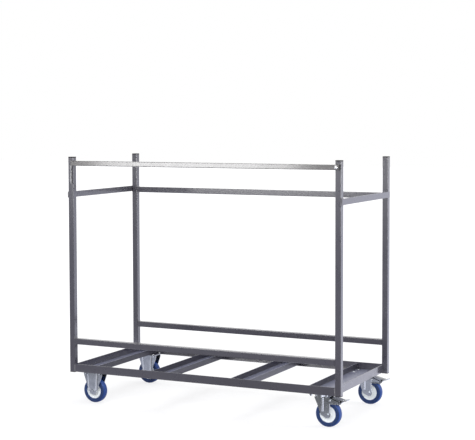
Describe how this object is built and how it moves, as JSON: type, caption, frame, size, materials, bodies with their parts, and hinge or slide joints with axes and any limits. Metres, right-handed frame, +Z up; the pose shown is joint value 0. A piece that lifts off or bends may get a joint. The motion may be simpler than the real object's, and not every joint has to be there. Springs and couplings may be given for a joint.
{
  "type": "stacking chair trolley",
  "caption": "Grey steel stacking chair trolley: tube frame with leg trays, swing-open front bar with locking pin, fixed castors and braked swivel castors with blue tyres",
  "frame": {"origin": "on the floor, under the middle of the overall box at rest", "axes": "+X along the length towards the swivel castors, +Z up, front towards -Y"},
  "size_m": [1.5262, 0.7118, 1.268],
  "materials": {
    "paint": "satin",
    "tray_paint": "satin",
    "cap_plastic": "matte",
    "zinc": "satin",
    "tyre": "matte",
    "hub_plastic": "matte",
    "bush": "satin",
    "shoe_rubber": "matte"
  },
  "bodies": {
    "frame": {"post_front_left": "paint", "post_front_right": "paint", "post_rear_left": "paint", "post_rear_right": "paint", "rail_bottom_front": "paint", "rail_bottom_rear": "paint", "rail_bottom_left": "paint", "rail_bottom_right": "paint", "tray_end_left": "tray_paint", "tray_middle_left": "tray_paint", "tray_middle_right": "tray_paint", "tray_end_right": "tray_paint", "rail_lower_front": "paint", "rail_lower_rear": "paint", "rail_upper_rear": "paint", "end_bar_left": "paint", "end_bar_right": "paint", "post_top_caps": "cap_plastic", "post_foot_caps": "cap_plastic", "castor_pads": "paint", "castor_bolts": "zinc", "hinge_barrel": "paint", "fixed_fork_front": "zinc", "fixed_axle_front": "zinc", "fixed_fork_rear": "zinc", "fixed_axle_rear": "zinc", "swivel_plate_front": "zinc", "kingpin_front": "zinc", "swivel_plate_rear": "zinc", "kingpin_rear": "zinc"},
    "front_bar": {"front_bar": "paint", "front_bar_caps": "cap_plastic", "hinge_pin": "paint"},
    "locking_pin": {"locking_pin": "zinc", "locking_pin_clip": "zinc"},
    "fixed_wheel_front": {"fixed_hub_front": "hub_plastic", "fixed_tyre_front": "tyre", "fixed_bush_front": "bush"},
    "swivel_front": {"swivel_fork_front": "zinc", "swivel_balls_front": "zinc", "swivel_axle_front": "zinc", "brake_pin_front": "zinc"},
    "swivel_wheel_front": {"swivel_hub_front": "hub_plastic", "swivel_tyre_front": "tyre", "swivel_bush_front": "bush"},
    "brake_front": {"brake_pedal_front": "zinc", "brake_shoe_front": "shoe_rubber"},
    "fixed_wheel_rear": {"fixed_hub_rear": "hub_plastic", "fixed_tyre_rear": "tyre", "fixed_bush_rear": "bush"},
    "swivel_rear": {"swivel_fork_rear": "zinc", "swivel_balls_rear": "zinc", "swivel_axle_rear": "zinc", "brake_pin_rear": "zinc"},
    "swivel_wheel_rear": {"swivel_hub_rear": "hub_plastic", "swivel_tyre_rear": "tyre", "swivel_bush_rear": "bush"},
    "brake_rear": {"brake_pedal_rear": "zinc", "brake_shoe_rear": "shoe_rubber"}
  },
  "joints": [
    {"name": "front_bar_swing", "type": "hinge", "parent": "frame", "child": "front_bar", "pos_m": [-0.7301, -0.3351, 1.178], "axis": [0, 0, -1], "range_deg": [0, 150]},
    {"name": "locking_pin_pull", "type": "slide", "parent": "front_bar", "child": "locking_pin", "axis": [0, -1, 0], "range_m": [0, 0.018]},
    {"name": "fixed_wheel_front_roll", "type": "hinge", "parent": "frame", "child": "fixed_wheel_front", "pos_m": [-0.6381, -0.2636, 0.0625], "axis": [0, 1, 0], "continuous": true},
    {"name": "swivel_front_turn", "type": "hinge", "parent": "frame", "child": "swivel_front", "pos_m": [0.6219, -0.2636, 0.15], "axis": [0, 0, 1], "continuous": true},
    {"name": "swivel_wheel_front_roll", "type": "hinge", "parent": "swivel_front", "child": "swivel_wheel_front", "pos_m": [0.6599, -0.2636, 0.0625], "axis": [0, 1, 0], "continuous": true},
    {"name": "brake_front_press", "type": "hinge", "parent": "swivel_front", "child": "brake_front", "pos_m": [0.6749, -0.2636, 0.13], "axis": [0, 1, 0], "range_deg": [0, 10]},
    {"name": "fixed_wheel_rear_roll", "type": "hinge", "parent": "frame", "child": "fixed_wheel_rear", "pos_m": [-0.6381, 0.3004, 0.0625], "axis": [0, 1, 0], "continuous": true},
    {"name": "swivel_rear_turn", "type": "hinge", "parent": "frame", "child": "swivel_rear", "pos_m": [0.6219, 0.3004, 0.15], "axis": [0, 0, 1], "continuous": true},
    {"name": "swivel_wheel_rear_roll", "type": "hinge", "parent": "swivel_rear", "child": "swivel_wheel_rear", "pos_m": [0.6599, 0.3004, 0.0625], "axis": [0, 1, 0], "continuous": true},
    {"name": "brake_rear_press", "type": "hinge", "parent": "swivel_rear", "child": "brake_rear", "pos_m": [0.6749, 0.3004, 0.13], "axis": [0, 1, 0], "range_deg": [0, 10]}
  ]
}
